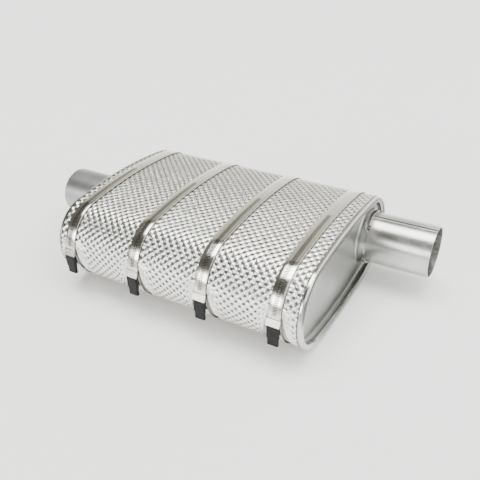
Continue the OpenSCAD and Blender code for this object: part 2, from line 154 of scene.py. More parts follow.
class Graph:
    """The node tree of one material or of the world."""

    def __init__(self, tree: bpy.types.NodeTree) -> None:
        """Takes a tree over and empties it.

        Args:
            tree: The node tree to fill.
        """
        self.tree = tree
        tree.nodes.clear()

    def add(self, kind: str, settings: dict[str, Any] | None = None,
            values: dict[Any, Any] | None = None, output: Any = 0) -> Socket:
        """Adds one node.

        Args:
            kind: The node's type.
            settings: Attributes to set first; "stops" holds a colour ramp's (place, colour) pairs.
            values: Input names or numbers, each with a value or a Socket.
            output: Name or number of the output to return.

        Returns:
            The chosen output, wrapped.
        """
        node = self.tree.nodes.new(kind)
        for name, value in (settings or {}).items():
            if name == "stops":
                self._set_stops(node.color_ramp, value)
            else:
                setattr(node, name, value)
        for name, value in (values or {}).items():
            if isinstance(value, Socket):
                self.tree.links.new(value.socket, node.inputs[name])
            else:
                node.inputs[name].default_value = value
        return Socket(self, node.outputs[output] if node.outputs else None)

    @staticmethod
    def _set_stops(ramp: bpy.types.ColorRamp, stops: Sequence[tuple[float, Sequence[float]]]) -> None:
        """Fills a colour ramp.

        Args:
            ramp: The ramp of a Color Ramp node.
            stops: Place and colour of each stop, in order.
        """
        while len(ramp.elements) < len(stops):
            ramp.elements.new(1.0)
        for element, (place, colour) in zip(ramp.elements, stops):
            element.position = place
            element.color = colour

    def noise(self, vector: Socket, scale: float, detail: float = 3.0, roughness: float = 0.55) -> Socket:
        """Adds a noise of one value.

        Args:
            vector: Where it is read.
            scale: Its scale.
            detail: Its number of octaves.
            roughness: How strong the fine octaves are.

        Returns:
            The noise, about 0 to 1.
        """
        return self.add("ShaderNodeTexNoise", {"noise_dimensions": "3D"},
                        {"Vector": vector, "Scale": scale, "Detail": detail, "Roughness": roughness}, "Fac")

    def blend(self, factor: Any, first: Any, second: Any) -> Socket:
        """Mixes two colours.

        Args:
            factor: 0 gives the first colour and 1 the second.
            first: First colour or Socket.
            second: Second colour or Socket.

        Returns:
            The mixed colour.
        """
        first, second = [(*part, 1.0) if isinstance(part, tuple) else part for part in (first, second)]
        return self.add("ShaderNodeMix", {"data_type": "RGBA"}, {0: factor, 6: first, 7: second}, 2)

    def object_point(self, scale: Sequence[float] = (1.0, 1.0, 1.0)) -> Socket:
        """Reads Object coordinates through a Mapping node.

        Args:
            scale: Stretch of the pattern along X, Y and Z.

        Returns:
            The coordinates.
        """
        point = self.add("ShaderNodeTexCoord", output="Object")
        return self.add("ShaderNodeMapping", None, {"Vector": point, "Scale": tuple(scale)})

    def parts(self, vector: Socket) -> tuple[Socket, Socket, Socket]:
        """Splits a vector.

        Args:
            vector: The vector to split.

        Returns:
            Its X, Y and Z.
        """
        first = self.add("ShaderNodeSeparateXYZ", None, {0: vector}, 0)
        outputs = first.socket.node.outputs
        return first, Socket(self, outputs[1]), Socket(self, outputs[2])

    def surface(self, values: dict[str, Any]) -> None:
        """Ends the tree with one Principled BSDF.

        Args:
            values: Its inputs.
        """
        shader = self.add("ShaderNodeBsdfPrincipled", None, values)
        self.add("ShaderNodeOutputMaterial", None, {"Surface": shader})

    def bump(self, height: Socket, distance: float) -> Socket:
        """Turns a height into a normal.

        Args:
            height: Height from 0 to 1.
            distance: What height 1 stands for, in metres.

        Returns:
            The normal.
        """
        return self.add("ShaderNodeBump", None, {"Height": height, "Distance": distance, "Strength": 1.0})


class Grain(Enum):
    """Which way a metal's fine lines run."""

    ALONG = (1.5, 60.0, 60.0)
    ACROSS = (60.0, 2.0, 2.0)
    CLOUDY = (12.0, 12.0, 12.0)


@dataclass(frozen=True)
class Finish:
    """A material by name; each kind of finish fills its node tree."""

    name: str

    def fill(self, graph: Graph) -> None:
        """Fills the node tree."""
        raise NotImplementedError

    def make(self) -> bpy.types.Material:
        """Builds the material.

        Returns:
            The finished material.
        """
        material = bpy.data.materials.new(self.name)
        material.use_nodes = True
        self.fill(Graph(material.node_tree))
        return material


@dataclass(frozen=True)
class Metal(Finish):
    """A bare metal with grain, cloudy tone and fine handling marks."""

    colour: Colour
    dark: Colour
    roughness: float = 0.25
    rough_spread: float = 0.12
    grain: Grain = Grain.CLOUDY
    line_scale: float = 90.0
    line_span: Span = (0.3, 0.7)
    line_share: float = 0.3
    cloud_scale: float = 18.0
    cloud_span: Span = (0.35, 0.68)
    cloud_share: float = 0.7
    bump: float = 0.02 * MM
    metallic: float = 1.0

    def tone(self, graph: Graph) -> tuple[Socket, Socket, Socket]:
        """Builds the colour, the roughness and the grain.

        Args:
            graph: The material's graph.

        Returns:
            The three sockets.
        """
        lines = graph.noise(graph.object_point(self.grain.value), self.line_scale, 4.0, 0.6)
        clouds = graph.noise(graph.object_point(), self.cloud_scale, 4.0)
        share = (clouds.ramp(*self.cloud_span) * self.cloud_share
                 + lines.ramp(*self.line_span) * self.line_share)
        colour = graph.blend(share, self.dark, self.colour)
        rough = self.roughness + (clouds - 0.5) * self.rough_spread + (lines - 0.5) * self.rough_spread
        return colour, rough, lines

    def fill(self, graph: Graph) -> None:
        """Fills the node tree.

        Args:
            graph: The material's graph.
        """
        colour, rough, lines = self.tone(graph)
        graph.surface({"Base Color": colour, "Metallic": self.metallic, "Roughness": rough,
                       "Normal": graph.bump(lines, self.bump)})


@dataclass(frozen=True)
class HeadSteel(Metal):
    """Pressed steel: satin on the sunk plate, polished on the rolled rims, with painted shade low at the
    back and a painted dark reflection on the rims' upper inner lip.
    """

    rim_span: Span = (0.1535, 0.156)
    rim_roughness: float = 0.09
    rim_colour: Colour = (0.8, 0.79, 0.76)
    rim_share: float = 0.7
    # Painted shade: the heads turn darker towards the bottom at the back
    low_shade_colour: Colour = (0.14, 0.145, 0.13)
    low_shade_up: Span = (-0.01, -0.042)
    low_shade_back: Span = (-0.12, -0.06)
    low_shade_share: float = 0.75
    # Painted dark reflection on the rims' upper inner lip, where the rim faces along the body
    lip_reflection_colour: Colour = (0.1, 0.084, 0.064)
    lip_facing: Span = (0.5, 0.8)
    lip_up: Span = (-0.004, 0.015)
    lip_reflection_share: float = 0.92

    def fill(self, graph: Graph) -> None:
        """Fills the node tree.

        Args:
            graph: The material's graph.
        """
        colour, rough, lines = self.tone(graph)
        along, back, up = graph.parts(graph.object_point())
        outward, _, _ = graph.parts(graph.add("ShaderNodeNewGeometry", output="Normal"))
        rim = (along - BODY_X).absolute().ramp(*self.rim_span)
        # Painted shade, darker low at the back of the heads
        low = up.ramp(*self.low_shade_up) * back.ramp(*self.low_shade_back) * self.low_shade_share
        # Painted dark reflection on the upper inner lip of the rims
        lip_reflection = outward.absolute().ramp(*self.lip_facing) * rim * up.ramp(*self.lip_up) * self.lip_reflection_share
        colour = graph.blend(rim * self.rim_share, colour, self.rim_colour)
        colour = graph.blend(low, colour, self.low_shade_colour)
        colour = graph.blend(lip_reflection, colour, self.lip_reflection_colour)
        graph.surface({"Base Color": colour, "Metallic": self.metallic,
                       "Roughness": rough * (1.0 - rim) + rim * self.rim_roughness,
                       "Normal": graph.bump(lines, self.bump)})


@dataclass(frozen=True)
class NeckSteel(Metal):
    """Satin tube steel with one straight weld seam along the tube; angles are in degrees."""

    axis_y: float = 0.067
    seam_at: float = 84.0
    seam_width: float = 2.4
    seam_core: float = 0.3
    seam_colour: Colour = (0.02, 0.019, 0.018)
    seam_share: float = 0.95
    seam_roughness: float = 0.2
    bead_width: float = 2.6
    bead_share: float = 0.9
    bead_height: float = 0.25 * MM

    def fill(self, graph: Graph) -> None:
        """Fills the node tree.

        Args:
            graph: The material's graph.
        """
        colour, rough, lines = self.tone(graph)
        _, y, z = graph.parts(graph.object_point())
        turn = z.angle((y - self.axis_y) * -1.0) * math.degrees(1.0)
        away = (turn - self.seam_at).absolute()
        seam = away.ramp(self.seam_width, self.seam_core * self.seam_width)
        bead = away.ramp(self.bead_width * self.seam_width, self.seam_width)
        height = bead * self.bead_share + lines * (1.0 - self.bead_share)
        graph.surface({"Base Color": graph.blend(seam * self.seam_share, colour, self.seam_colour),
                       "Metallic": self.metallic,
                       "Roughness": rough + seam * self.seam_roughness,
                       "Normal": graph.bump(height, self.bead_height)})


@dataclass(frozen=True)
class ShieldSheet(Finish):
    """Bright embossed sheet with painted shade in its hollows, beside the ties and along its two side
    edges.
    """

    name: str = "shield_sheet"
    bright: Colour = (0.93, 0.925, 0.875)
    # Painted shade: grey on the bumps' walls and near-black in the hollows
    saddle_shade: Colour = (0.53, 0.528, 0.5)
    hollow_shade: Colour = (0.055, 0.055, 0.05)
    dull: Colour = (0.7, 0.7, 0.68)
    dull_span: Span = (0.3, 0.75)
    dull_share: float = 0.1
    saddle_span: Span = (0.4, 0.68)
    hollow_span: Span = (0.67, 0.86)
    line_span: Span = (8.3, 7.4)
    side_span: Span = (0.1525, 0.1532)
    line_share: float = 0.9
    pressed_share: float = 0.25
    metallic: float = 0.9
    roughness: float = 0.2
    crease_scale: float = 420.0
    crease_rough: float = 0.16
    crease_dip: float = 0.12
    crease_height: float = 0.5 * MM
    cloud_scale: float = 30.0
    cloud_rough: float = 0.1
    hollow_rough: float = 0.15

    def fill(self, graph: Graph) -> None:
        """Fills the node tree.

        Args:
            graph: The material's graph.
        """
        point = graph.object_point()
        press = graph.add("ShaderNodeAttribute", {"attribute_name": HeatShield.PRESS}, output="Fac")
        beside = graph.add("ShaderNodeAttribute", {"attribute_name": HeatShield.BESIDE}, output="Fac")
        column, row, _ = graph.parts(graph.add("ShaderNodeUVMap", {"uv_map": HeatShield.UV}))
        along, _, _ = graph.parts(point)
        creases = graph.noise(point, self.crease_scale, 3.0, 0.6)
        clouds = graph.noise(point, self.cloud_scale)
        wave = (column * math.pi).cosine() * (row * math.pi).cosine()
        share = press * (1.0 - self.pressed_share) + self.pressed_share
        dip = (0.5 - wave * 0.5) * share + (creases - 0.5) * self.crease_dip
        # Painted shade, deepening with the emboss's depth into dark dots in the hollows
        shaded_dot = dip.ramp(*self.hollow_span)
        # Painted shadow: dark lines where the sheet meets the ties and, at its two side edges, the rims
        tie_and_edge_shadow = beside.ramp(*self.line_span) + (along - BODY_X).absolute().ramp(*self.side_span)
        colour = graph.blend(dip.ramp(*self.saddle_span), self.bright, self.saddle_shade)
        colour = graph.blend(shaded_dot, colour, self.hollow_shade)
        colour = graph.blend(tie_and_edge_shadow * self.line_share, colour, self.hollow_shade)
        colour = graph.blend(clouds.ramp(*self.dull_span) * self.dull_share, colour, self.dull)
        rough = self.roughness + (creases - 0.5) * self.crease_rough + (clouds - 0.5) * self.cloud_rough
        graph.surface({"Base Color": colour, "Metallic": self.metallic,
                       "Roughness": rough + shaded_dot * self.hollow_rough,
                       "Normal": graph.bump(creases, self.crease_height)})


@dataclass(frozen=True)
class Vinyl(Finish):
    """Dipped black vinyl: matt, with a faint orange-peel skin and paler scuffs."""

    name: str = "dipped_vinyl"
    colour: Colour = (0.006, 0.006, 0.007)
    worn: Colour = (0.02, 0.02, 0.021)
    roughness: float = 0.5
    scuff_rough: float = 0.2
    scuff_scale: float = 160.0
    scuff_span: Span = (0.48, 0.72)
    skin_scale: float = 900.0
    skin_height: float = 0.05 * MM
    specular: float = 0.2

    def fill(self, graph: Graph) -> None:
        """Fills the node tree.

        Args:
            graph: The material's graph.
        """
        point = graph.object_point()
        skin = graph.noise(point, self.skin_scale, 2.0)
        scuffs = graph.noise(point, self.scuff_scale, 5.0, 0.65).ramp(*self.scuff_span)
        graph.surface({"Base Color": graph.blend(scuffs, self.colour, self.worn),
                       "Roughness": self.roughness + scuffs * self.scuff_rough,
                       "Specular IOR Level": self.specular,
                       "Normal": graph.bump(skin, self.skin_height)})


@dataclass(frozen=True)
class StudioFloor(Finish):
    """Matt pale paper with painted shade that makes it a little darker in front of what the camera sees.

    Each edge of the pale part is a direction's X and Y and how far out it starts, in metres.
    """

    name: str = "studio_floor"
    colour: Colour = (0.89, 0.89, 0.88)
    mottled: float = 0.985
    shade: Colour = (0.46, 0.46, 0.45)
    edges: tuple[Triple, ...] = ((0.489, -0.872, 0.322), (-0.641, -0.768, 0.295))
    fade: float = 0.2
    roughness: float = 0.9

    def fill(self, graph: Graph) -> None:
        """Fills the node tree.

        Args:
            graph: The material's graph.
        """
        point = graph.object_point()
        x, y, _ = graph.parts(point)
        pale = tuple(self.mottled * part for part in self.colour)
        colour = graph.blend(graph.noise(point, 3.0, 2.0), pale, self.colour)
        for east, north, start in self.edges:
            outward = (x - BODY_X) * east + (y - BODY_Y) * north
            # Painted shade on the floor beyond each edge
            colour = graph.blend(outward.ramp(start, start + self.fade), colour, self.shade)
        graph.surface({"Base Color": colour, "Roughness": self.roughness})


@dataclass(frozen=True)
class BodyOval:
    """The muffler's oval, as the part's source draws it, in millimetres from the body's middle."""

    length: float = 318.0
    width: float = 242.0
    height: float = 107.0
    end_radius: float = 48.5
    crest: float = 0.8
    lay: float = 0.15
    strap: float = 0.8
    room_full: float = 3.15
    belly: float = -2.45
    inlet_len: float = 87.0
    inlet_back: float = 7.0

    @cached_property
    def end_centre(self) -> float:
        """Distance of each end arc's centre from the middle."""
        return self.width / 2 - self.end_radius

    @cached_property
    def crown_radius(self) -> float:
        """Radius of the flat arcs above and below."""
        half = self.height / 2
        return (self.end_centre**2 + half**2 - self.end_radius**2) / (2 * (half - self.end_radius))

    @cached_property
    def crown_centre(self) -> float:
        """Distance of each crown arc's centre below or above the middle."""
        return self.crown_radius - self.height / 2

    @cached_property
    def end_turn(self) -> float:
        """Angle that an end arc covers on each side of the widest line, in radians."""
        return math.atan2(self.crown_centre, self.end_centre)

    @cached_property
    def end_arc(self) -> float:
        """Length of the crest line over one end arc's upper half."""
        return (self.end_radius + self.crest) * self.end_turn

    @cached_property
    def crown_arc(self) -> float:
        """Length of the crest line over the crown."""
        return 2 * (self.crown_radius + self.crest) * (math.pi / 2 - self.end_turn)

    @cached_property
    def over(self) -> float:
        """Length of the crest line from the front's widest line to the back's."""
        return 2 * self.end_arc + self.crown_arc

    def lower_arc(self, reach: float) -> tuple[float, float]:
        """Gives the arc that runs from the widest line in to the bare belly.

        Args:
            reach: Distance from the middle where it starts.

        Returns:
            Its radius and the distance of its centre from the middle.
        """
        belly = self.crown_radius + self.belly
        radius = (belly**2 - self.crown_centre**2 - reach**2) / (2 * (belly - reach))
        return radius, reach - radius

    @cached_property
    def low_radius(self) -> float:
        """Radius of the crest line's lower arcs."""
        return self.lower_arc(self.width / 2 + self.crest + self.lay)[0] - self.lay

    @cached_property
    def low_centre(self) -> float:
        """Distance of the lower arcs' centres from the middle."""
        return self.lower_arc(self.width / 2 + self.crest + self.lay)[1]

    def point(self, along: float, sunk: float) -> tuple[float, float]:
        """Gives a point of the crest line or below it.

        Args:
            along: Distance over the body from the front's widest line; negative goes under.
            sunk: Depth below the crest line.

        Returns:
            Its Y and Z.
        """
        if along < 0:
            return self._low(-along, sunk, -1)
        if along <= self.end_arc:
            return self._end(along, sunk, -1)
        if along <= self.end_arc + self.crown_arc:
            reach = self.crown_radius + self.crest
            turn = (along - self.end_arc - self.crown_arc / 2) / reach
            return (reach - sunk) * math.sin(turn), (reach - sunk) * math.cos(turn) - self.crown_centre
        if along <= self.over:
            return self._end(self.over - along, sunk, 1)
        return self._low(along - self.over, sunk, 1)

    def _end(self, along: float, sunk: float, side: int) -> tuple[float, float]:
        """Gives a point over an end arc or below it.

        Args:
            along: Distance up from the widest line.
            sunk: Depth below the crest line.
            side: -1 in front and 1 behind.

        Returns:
            Its Y and Z.
        """
        reach = self.end_radius + self.crest
        turn = along / reach
        return side * (self.end_centre + (reach - sunk) * math.cos(turn)), (reach - sunk) * math.sin(turn)

    def _low(self, along: float, sunk: float, side: int) -> tuple[float, float]:
        """Gives a point on a lower arc or inside it.

        Args:
            along: Distance down from the widest line.
            sunk: Depth below the crest line.
            side: -1 in front and 1 behind.

        Returns:
            Its Y and Z.
        """
        turn = along / self.low_radius
        reach = self.low_radius - sunk
        return side * (self.low_centre + reach * math.cos(turn)), -reach * math.sin(turn)

    def room(self, along: float) -> float:
        """Gives the space between the crest line and the shell.

        Args:
            along: Distance over the body from the front's widest line.

        Returns:
            The space, in millimetres.
        """
        below = max(0.0, -along, along - self.over)
        shift = self.low_centre - self.end_centre
        return self.room_full - shift * (1 - math.cos(below / self.low_radius))

    @cached_property
    def middle(self) -> Vector:
        """The body's middle in the row's frame, in metres."""
        return Vector((self.inlet_len + self.length / 2, -self.inlet_back, 0.0)) * MM


@dataclass(frozen=True)
class HeatShield:
    """The thin sheet with its turned square field of round bumps, in millimetres."""

    PRESS: ClassVar[str] = "press"
    BESIDE: ClassVar[str] = "beside"
    UV: ClassVar[str] = "sheet"

    oval: BodyOval
    half: float = 153.6
    drop: float = 44.0
    notch_top: float = 10.5
    notch_half: float = 8.3
    notch_flare: float = 17.0
    above_notch: float = 4.0
    press_half: float = 7.2
    press_fade: float = 1.0
    sheet: float = 0.5
    depth: float = 2.2
    pitch: float = 9.0
    row: float = 4.55
    steps_across: int = 3
    steps_down: float = 2.5
    edge_rows: float = 0.6
    hem_rows: float = 0.4
    groove: float = 1.2
    groove_half: float = 1.6
    groove_start: float = 12.0
    groove_rise: float = 20.0
    sharp: float = 65.0

    @cached_property
    def columns(self) -> int:
        """Number of bumps side by side."""
        return round(2 * self.half / self.pitch)

    @cached_property
    def rows(self) -> int:
        """Number of rows from the front edge to the back one, an even number."""
        return 2 * round((self.oval.over + 2 * self.drop) / self.row / 2)

    @cached_property
    def row_gap(self) -> float:
        """Distance between rows, where they are not drawn together over a notch."""
        return (self.oval.over + 2 * self.drop) / self.rows

    @cached_property
    def free_rows(self) -> int:
        """Number of rows that follow the front edge's notches, an even number."""
        return 2 * math.ceil((self.notch_top + self.above_notch + self.drop) / self.row_gap / 2)

    def to_tie(self, x: float) -> float:
        """Gives the distance to the nearest tie."""
        return min(abs(x - tie) for tie in TIES)

    def front_edge(self, x: float) -> float:
        """Gives where the sheet's front edge lies.

        Args:
            x: Distance along the body from its middle.

        Returns:
            The edge's distance above the widest line.
        """
        share = unit((self.to_tie(x) - self.notch_half) / self.notch_flare)
        return self.notch_top - (self.notch_top + self.drop) * math.sin(math.pi / 2 * share)

    def place(self, x: float, row: float) -> tuple[float, float]:
        """Gives where a point of a row lies over the body.

        Args:
            x: Distance along the body from its middle.
            row: The row, from 0 at the front edge.

        Returns:
            Its distance from the front's widest line, and the share of their full gap that the rows have.
        """
        if row >= self.free_rows:
            return row * self.row_gap - self.drop, 1.0
        edge = self.front_edge(x)
        last = self.free_rows * self.row_gap - self.drop
        return edge + (last - edge) * row / self.free_rows, (last - edge) / (last + self.drop)

    def rise(self, x: float, row: float) -> float:
        """Gives how far the bumps rise, as they fade at both edges and under the ties.

        Args:
            x: Distance along the body from its middle.
            row: The row, from 0 at the front edge.

        Returns:
            The share of the full height.
        """
        edge = min(1.0, row / self.edge_rows, (self.rows - row) / self.edge_rows)
        return edge * unit((self.to_tie(x) - self.press_half + self.press_fade) / self.press_fade)

    def sunk(self, x: float, row: float, along: float, press: float) -> float:
        """Gives the depth of a bump, of the groove beside a tie and of the hem.

        Args:
            x: Distance along the body from its middle.
            row: The row, from 0 at the front edge.
            along: Distance over the body from the front's widest line.
            press: Share of the full depth that the bumps have there.

        Returns:
            The depth below the crest line.
        """
        room = self.oval.room(along) - self.sheet
        wave = math.cos(math.pi * self.columns * x / self.half) * math.cos(math.pi * row)
        bump = max(0.0, min(self.depth, room)) * press * (1 - wave) / 2
        groove = self.groove * unit(1 - abs(self.to_tie(x) - self.press_half) / self.groove_half)
        groove *= unit((along - self.groove_start) / self.groove_rise)
        hem = unit(1 - min(row, self.rows - row) / self.hem_rows)
        return max(bump, min(groove, room)) * (1 - hem) + room * hem

    def make(self) -> bpy.types.Object:
        """Builds the sheet.

        Returns:
            The finished piece.
        """
        mesh = bmesh.new()
        press = mesh.verts.layers.float.new(self.PRESS)
        beside = mesh.verts.layers.float.new(self.BESIDE)
        sheet_uv = mesh.loops.layers.uv.new(self.UV)
        bmesh.ops.create_grid(mesh, x_segments=2 * self.columns * self.steps_across,
                              y_segments=round(self.rows * self.steps_down), size=0.5, calc_uvs=False)
        for face in mesh.faces:
            for loop in face.loops:
                flat = loop.vert.co
                loop[sheet_uv].uv = (flat.x * 2 * self.columns, (flat.y + 0.5) * self.rows)
        for vertex in mesh.verts:
            x = vertex.co.x * 2 * self.half
            row = (vertex.co.y + 0.5) * self.rows
            along, share = self.place(x, row)
            share *= self.rise(x, row)
            y, z = self.oval.point(along, self.sunk(x, row, along, share))
            vertex[press] = share
            vertex[beside] = self.to_tie(x)
            vertex.co = self.oval.middle + Vector((x, y, z)) * MM
        bmesh.ops.recalc_face_normals(mesh, faces=mesh.faces)
        bmesh.ops.solidify(mesh, geom=mesh.faces[:], thickness=self.sheet * MM)
        smooth(mesh, self.sharp)
        return finish_mesh(mesh, "shield_sheet_embossed")


@dataclass(frozen=True)
class Strap:
    """One slotted band with its tapered tail, in millimetres and degrees."""

    oval: BodyOval
    number: int
    at: float
    width: float = 14.0
    buckle_len: float = 6.6
    leave: float = 0.63
    tail_turn: float = 18.0
    tail_len: float = 21.0
    tail_w: float = 11.0
    tail_tip_w: float = 9.0
    tail_bend: tuple[float, ...] = (0.6, 1.8, 3.0)
    plain: tuple[float, ...] = (4.6, 6.2)
    slot_step: float = 1.7
    slot_len: float = 4.6
    slot_w: float = 1.0
    slot_lean: float = 9.0
    slotted_len: float = 147.0
    past_buckle: float = 4.5
    past_slots: float = 4.0
    back_step: float = 5.0
    low_steps: int = 15
    belly_steps: int = 16
    up_rows: tuple[float, ...] = (1.5, 3.0, 4.5)
    edge_round: float = 0.12
    wall_turn: float = 60.0
    wall_slack: float = 0.01
    rim_slack: float = 0.1

    @cached_property
    def lift(self) -> float:
        """Depth of the band's outer face below the crest line, which is negative."""
        return -(self.oval.lay + self.oval.strap)

    @cached_property
    def slots(self) -> list[float]:
        """The middle of each slot, as a distance above the widest line."""
        count = math.floor(self.slotted_len / self.slot_step)
        return [self.buckle_len + self.past_buckle + k * self.slot_step for k in range(count + 1)]

    def tail_rows(self) -> list[Triple]:
        """Gives the tail's rows, from its tip up to where it leaves the curve.

        Returns:
            Y, Z and half width of each row.
        """
        reach = self.oval.end_radius - self.lift + self.oval.crest
        leave = self.leave * self.buckle_len
        slope = math.tan(math.radians(self.tail_turn))
        foot = -self.oval.end_centre - math.sqrt(reach**2 - leave**2) - leave * slope
        tip, top, full = self.tail_tip_w / 2, self.tail_w / 2, self.width / 2
        rows = [(foot, -self.tail_len, tip), (foot, -self.tail_len / 2, (tip + top) / 2),
                (foot, -self.tail_bend[0], top)]
        for height in self.tail_bend:
            rows.append((foot + height * slope, height, top + (full - top) * height / self.tail_bend[-1]))
        return rows

    def loop_rows(self) -> list[Triple]:
        """Gives the rows past the slots: over the back, under the belly and up to the buckle.

        Returns:
            Y, Z and half width of each row.
        """
        oval = self.oval
        start = self.slots[-1] + self.past_slots
        steps = round((oval.over - start) / self.back_step)
        places = [oval.point(start + (oval.over - start) * k / steps, self.lift) for k in range(steps + 1)]
        base = oval.width / 2 + oval.crest + oval.lay
        back_r, back_c = oval.lower_arc(base)
        front_r, front_c = oval.lower_arc(base - oval.lay / 2 - oval.strap)
        meet = math.atan2(oval.crown_centre, back_c)
        for k in range(1, self.low_steps + 1):
            turn = meet * k / self.low_steps
            places.append((back_c + (back_r + oval.strap) * math.cos(turn),
                           -(back_r + oval.strap) * math.sin(turn)))
        wide = oval.crown_radius + oval.belly + oval.strap
        first = math.atan2(back_c, oval.crown_centre)
        last = -math.atan2(front_c, oval.crown_centre)
        for k in range(1, self.belly_steps):
            turn = first + (last - first) * k / self.belly_steps
            places.append((wide * math.sin(turn), oval.crown_centre - wide * math.cos(turn)))
        meet = math.atan2(oval.crown_centre, front_c)
        for k in range(self.low_steps + 1):
            turn = meet * (1 - k / self.low_steps)
            places.append((-front_c - (front_r + oval.strap) * math.cos(turn),
                           -(front_r + oval.strap) * math.sin(turn)))
        under = oval.end_radius + oval.crest + oval.lay / 2
        places += [(-oval.end_centre - math.sqrt(under**2 - height**2), height) for height in self.up_rows]
        return [(y, z, self.width / 2) for y, z in places]

    def make(self) -> bpy.types.Object:
        """Builds the band.

        Returns:
            The finished piece.
        """
        tail, loop = self.tail_rows(), self.loop_rows()
        lean = math.tan(math.radians(self.slot_lean))
        slotted = [(place, 0.0) for place in self.plain]
        slotted += [(slot + side * self.slot_w / 2, lean) for slot in self.slots for side in (-1, 1)]
        first, last = len(tail), len(tail) + len(slotted)
        steps = last + len(loop) - 1
        mesh = bmesh.new()
        bmesh.ops.create_grid(mesh, x_segments=4, y_segments=steps, size=0.5, calc_uvs=False)
        open_rows = range(first + len(self.plain), last, 2)
        cut = []
        for face in mesh.faces:
            middle = face.calc_center_median()
            if math.floor((middle.y + 0.5) * steps) in open_rows and abs(middle.x) < 0.25:
                cut.append(face)
        for vertex in mesh.verts:
            row = round((vertex.co.y + 0.5) * steps)
            column = round(vertex.co.x * 4) + 2
            if first <= row < last:
                place, shear = slotted[row - first]
                x = self.spread(self.width / 2, self.slot_len / 2)[column]
                y, z = self.oval.point(place + shear * x, self.lift)
            else:
                y, z, half = tail[row] if row < first else loop[row - last]
                x = self.spread(half, half * self.slot_len / self.width)[column]
            vertex.co = self.oval.middle + Vector((self.at + x, y, z)) * MM
        bmesh.ops.delete(mesh, geom=cut, context="FACES")
        self.thicken(mesh)
        return finish_mesh(mesh, f"strap_band_{self.number}")

    @staticmethod
    def spread(outer: float, inner: float) -> tuple[float, ...]:
        """Gives the places of a row's five points across the band."""
        return -outer, -inner, 0.0, inner, outer

    def thicken(self, mesh: bmesh.types.BMesh) -> None:
        """Gives the band its thickness, marks the slots' walls for their painted shade and rounds the long
        edges.

        Args:
            mesh: The band's outer face.
        """
        bmesh.ops.recalc_face_normals(mesh, faces=mesh.faces)
        outside = set(mesh.faces)
        bmesh.ops.solidify(mesh, geom=mesh.faces[:], thickness=self.oval.strap * MM)
        middle = self.oval.middle.x + self.at * MM
        reach = (self.slot_len / 2 + self.wall_slack) * MM
        steep = math.radians(self.wall_turn)
        for face in mesh.faces:
            if (face not in outside and abs(face.calc_center_median().x - middle) < reach
                    and min(len(edge.link_faces) for edge in face.edges) == 2
                    and max(edge.calc_face_angle(0.0) for edge in face.edges) > steep):
                # The slot walls take the second material, a painted shade
                face.material_index = 1
        reach = (self.slot_len / 2 + self.rim_slack) * MM
        rims = [edge for edge in mesh.edges if min(abs(end.co.x - middle) for end in edge.verts) > reach]
        round_off(mesh, rims, self.edge_round * MM)


@dataclass(frozen=True)
class WeldTacks:
    """Small weld tacks that hold the outlet neck in its collar, in millimetres and degrees."""

    oval: BodyOval
    neck_back: float = 74.0
    radius: float = 30.9
    place: float = 160.2
    turns: tuple[float, ...] = (50.0, -20.0, 140.0, 215.0)
    blobs: tuple[tuple[float, float], ...] = ((-1.0, 1.0), (1.0, 0.75))
    apart: float = 3.4
    size: float = 2.3
    flat: float = 0.55
    ripple: float = 0.1
    ripple_rates: Span = (3100.0, 2700.0)

    def make(self) -> bpy.types.Object:
        """Builds the tacks as one piece.

        Returns:
            The finished piece.
        """
        mesh = bmesh.new()
        for number, degrees in enumerate(self.turns):
            for side, share in self.blobs:
                turn = math.radians(degrees + side * self.apart)
                made = bmesh.ops.create_icosphere(mesh, subdivisions=3, radius=self.size * share * MM)
                for vertex in made["verts"]:
                    first, second = (rate * part for rate, part in zip(self.ripple_rates, vertex.co))
                    vertex.co *= 1 + self.ripple * (math.sin(first + number) * math.cos(second + side))
                    vertex.co.z *= self.flat
                centre = Vector((self.place, self.neck_back - self.radius * math.cos(turn),
                                 self.radius * math.sin(turn)))
                bmesh.ops.rotate(mesh, verts=made["verts"], cent=(0, 0, 0),
                                 matrix=Matrix.Rotation(turn - math.pi / 2, 3, "X"))
                bmesh.ops.translate(mesh, verts=made["verts"], vec=self.oval.middle + centre * MM)
        smooth(mesh)
        return finish_mesh(mesh, "outlet_neck_weld_tacks")


def unit(value: float) -> float:
    """Keeps a value between 0 and 1."""
    return min(1.0, max(0.0, value))


def smooth(mesh: bmesh.types.BMesh, sharp: float = 180.0) -> None:
    """Smooths all faces, but not over edges that turn sharply.

    Args:
        mesh: The bmesh to smooth.
        sharp: Turn from which an edge stays sharp, in degrees.
    """
    for face in mesh.faces:
        face.smooth = True
    for edge in mesh.edges:
        edge.smooth = not edge.is_manifold or edge.calc_face_angle(0.0) < math.radians(sharp)


def round_off(mesh: bmesh.types.BMesh, edges: Iterable[bmesh.types.BMEdge], width: float,
              sharp: float = 50.0) -> None:
    """Rounds the sharp ones of some edges and smooths the faces.

    Args:
        mesh: The bmesh to finish.
        edges: The edges that may be rounded.
        width: Width of the rounding.
        sharp: Turn from which an edge counts as sharp, in degrees.
    """
    turned = [edge for edge in edges
              if edge.is_manifold and edge.calc_face_angle(0.0) > math.radians(sharp)]
    bmesh.ops.bevel(mesh, geom=turned, offset=width, segments=2, affect="EDGES", profile=0.5, material=-1)
    smooth(mesh, sharp)


def finish_mesh(mesh: bmesh.types.BMesh, name: str) -> bpy.types.Object:
    """Turns a bmesh into an object at the origin.

    Args:
        mesh: The finished bmesh, which is freed.
        name: The object's name.

    Returns:
        The linked object.
    """
    data = bpy.data.meshes.new(name)
    mesh.to_mesh(data)
    mesh.free()
    piece = bpy.data.objects.new(name, data)
    bpy.context.scene.collection.objects.link(piece)
    return piece


